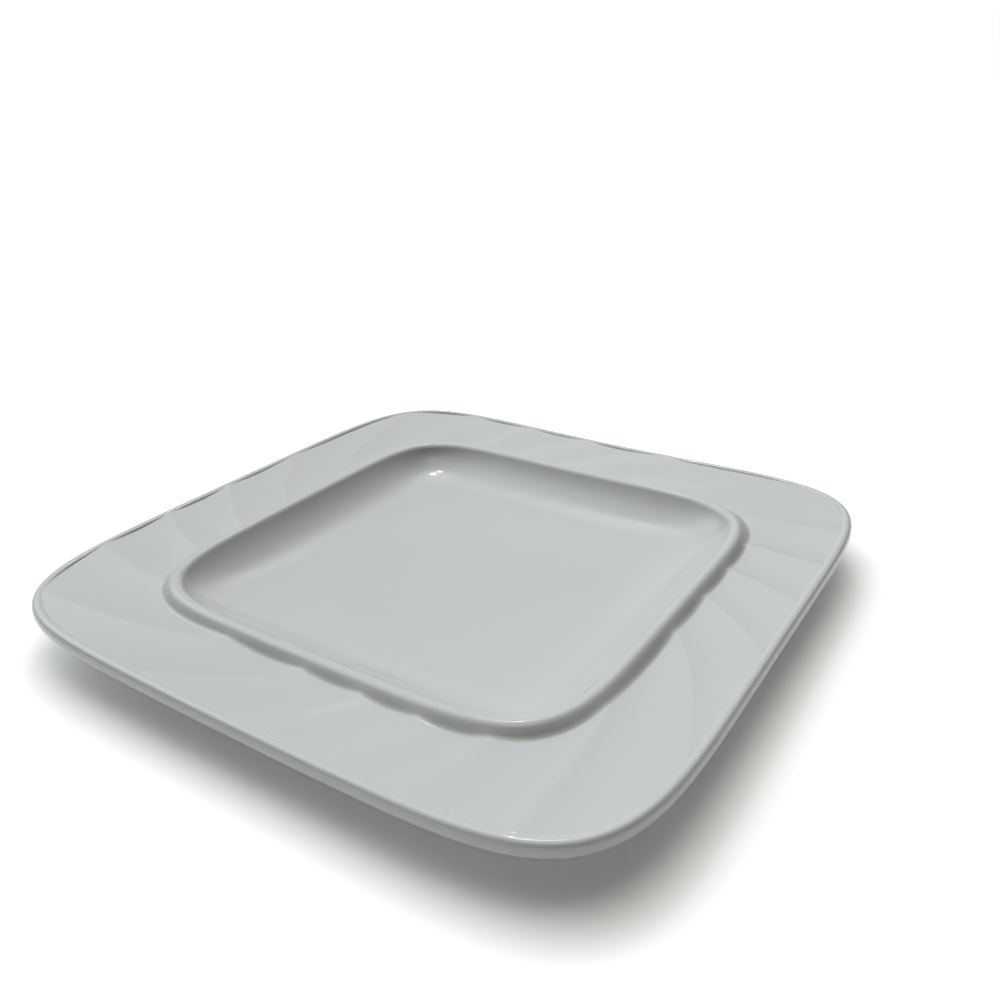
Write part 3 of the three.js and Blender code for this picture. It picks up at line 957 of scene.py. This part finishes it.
def stage_material():
    """White paper that glows to the camera and in reflections, with a painted shadow: less glow round the
    tray.
    """
    made = bpy.data.materials.new("white_paper")
    made.use_nodes = True
    tree = made.node_tree
    tree.nodes.clear()
    camera_ray, shiny_ray = seen_directly(tree)
    seen = add_node(tree, "ShaderNodeMath", {0: camera_ray, 1: shiny_ray}, operation="MAXIMUM")
    place = add_node(tree, "ShaderNodeTexCoord").outputs["Object"]
    sides = add_node(tree, "ShaderNodeSeparateXYZ", {0: place})
    total = 0.0
    for axis in ("X", "Y"):
        size = add_node(tree, "ShaderNodeMath", {0: sides.outputs[axis]}, operation="ABSOLUTE")
        share = add_node(
            tree, "ShaderNodeMath", {0: size.outputs[0], 1: EDGE_HALF * MM}, operation="DIVIDE"
        )
        power = add_node(tree, "ShaderNodeMath", {0: share.outputs[0], 1: SQUARENESS}, operation="POWER")
        total = add_node(tree, "ShaderNodeMath", {0: power.outputs[0], 1: total}, operation="ADD").outputs[0]
    away = add_node(tree, "ShaderNodeMath", {0: total, 1: 1 / SQUARENESS}, operation="POWER")
    # Painted shadow: the glow is weakest close to the tray's outline and grows outward to full white.
    painted_shadow_level = add_node(
        tree,
        "ShaderNodeMapRange",
        {
            "Value": away.outputs[0],
            1: GLOW_START / EDGE_HALF,
            2: GLOW_END / EDGE_HALF,
            3: PAINTED_SHADOW_GLOW,
            4: OPEN_GLOW,
        },
        interpolation_type="SMOOTHSTEP",
    )
    paper = add_node(tree, "ShaderNodeBsdfDiffuse", {"Color": linear(WHITE_HEX)})
    glow = add_node(tree, "ShaderNodeEmission", {"Strength": painted_shadow_level.outputs[0]})
    both = add_node(tree, "ShaderNodeAddShader", {0: paper.outputs[0], 1: glow.outputs[0]})
    mixed = add_node(
        tree,
        "ShaderNodeMixShader",
        {0: seen.outputs[0], 1: paper.outputs[0], 2: both.outputs[0]},
    )
    add_node(tree, "ShaderNodeOutputMaterial", {"Surface": mixed.outputs[0]})
    return made


floor_mesh = bpy.data.meshes.new("paper_floor")
reach_out = FLOOR_SIDE / 2
floor_corners = [(reach_out * x, reach_out * y, 0) for x, y in ((-1, -1), (1, -1), (1, 1), (-1, 1))]
floor_mesh.from_pydata(floor_corners, [], [(0, 1, 2, 3)])
floor_mesh.materials.append(stage_material())
floor = bpy.data.objects.new("paper_floor", floor_mesh)
bpy.context.scene.collection.objects.link(floor)

# %% Window glow
# Each lobe and lamp has its direction round the tray and its height in degrees, its brightness, its
# tightness and its colour.
WINDOW_LOBES = (
    (108, 44, 1.2, 12.0, "#fbfdfe"),
    (124, 51, 2.07, 58.0, "#f6fbff"),
    (173, 45, 3.2, 11.3, "#f6fbff"),
    (20, 89, 2.1, 23.0, "#fff6ea"),
    (122, 16, 0.74, 19.0, "#fdfdfc"),
)
CEILING_LAMPS = (
    (129, 56, 40.0, 4500.0, "#fff6ea"),
    (123, 51.5, 40.0, 4500.0, "#fff6ea"),
)
HORIZON_LOW, HORIZON_HIGH = 0.03, 0.12


def window_world():
    """A soft glow from the far left, with a plain white background for the camera."""
    made = bpy.data.worlds.new("window_glow")
    made.use_nodes = True
    tree = made.node_tree
    tree.nodes.clear()
    direction = add_node(tree, "ShaderNodeTexCoord").outputs["Generated"]
    total = (0.0, 0.0, 0.0)
    for azimuth, height, brightness, tightness, colour in WINDOW_LOBES + CEILING_LAMPS:
        around, above = math.radians(azimuth), math.radians(height)
        flat = math.cos(above)
        toward = (flat * math.cos(around), flat * math.sin(around), math.sin(above))
        closeness = add_node(tree, "ShaderNodeVectorMath", {0: direction, 1: toward}, operation="DOT_PRODUCT")
        slope = add_node(
            tree,
            "ShaderNodeMath",
            {0: closeness.outputs["Value"], 1: tightness, 2: -tightness},
            operation="MULTIPLY_ADD",
        )
        share = add_node(tree, "ShaderNodeMath", {0: slope.outputs[0]}, operation="EXPONENT")
        light = [brightness * channel for channel in linear(colour)[:3]]
        lobe = add_node(
            tree,
            "ShaderNodeVectorMath",
            {0: light, 1: share.outputs[0], 2: total},
            operation="MULTIPLY_ADD",
        )
        total = lobe.outputs[0]
    camera_ray, shiny_ray = seen_directly(tree)
    sky_height = add_node(tree, "ShaderNodeSeparateXYZ", {0: direction})
    near_horizon = add_node(
        tree,
        "ShaderNodeMapRange",
        {"Value": sky_height.outputs["Z"], 1: HORIZON_LOW, 2: HORIZON_HIGH, 3: 1.0, 4: 0.0},
    )
    mirrored = add_node(
        tree, "ShaderNodeMath", {0: shiny_ray, 1: near_horizon.outputs[0]}, operation="MULTIPLY"
    )
    plain = add_node(tree, "ShaderNodeMath", {0: camera_ray, 1: mirrored.outputs[0]}, operation="MAXIMUM")
    colour = add_node(
        tree,
        "ShaderNodeMix",
        {"Factor": plain.outputs[0], 6: total, 7: linear(WHITE_HEX)},
        data_type="RGBA",
    )
    room = add_node(tree, "ShaderNodeBackground", {"Color": colour.outputs[2]})
    add_node(tree, "ShaderNodeOutputWorld", {"Surface": room.outputs[0]})
    return made


bpy.context.scene.world = window_world()
print("world has", len(bpy.context.scene.world.node_tree.nodes), "nodes")

# %% [markdown]
# ## The body
# Every piece rides on the tray's one body, and the CAD solids that it stands for are hidden but kept in the
# scene.

# %% Ride on the body and hide the CAD solids
for piece, nodes, slot in (
    (rim, ["fluted_rim"], "glaze"),
    (dish, ["well_dish"], "glaze"),
    (foot, ["foot_ring"], "bare_clay"),
    *[(pad, [f"foot_pad_{i}"], "pad") for i, pad in enumerate(pads, 1)],
):
    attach(piece, "root")
    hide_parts(*nodes)

bpy.context.scene.view_settings.view_transform = "Standard"
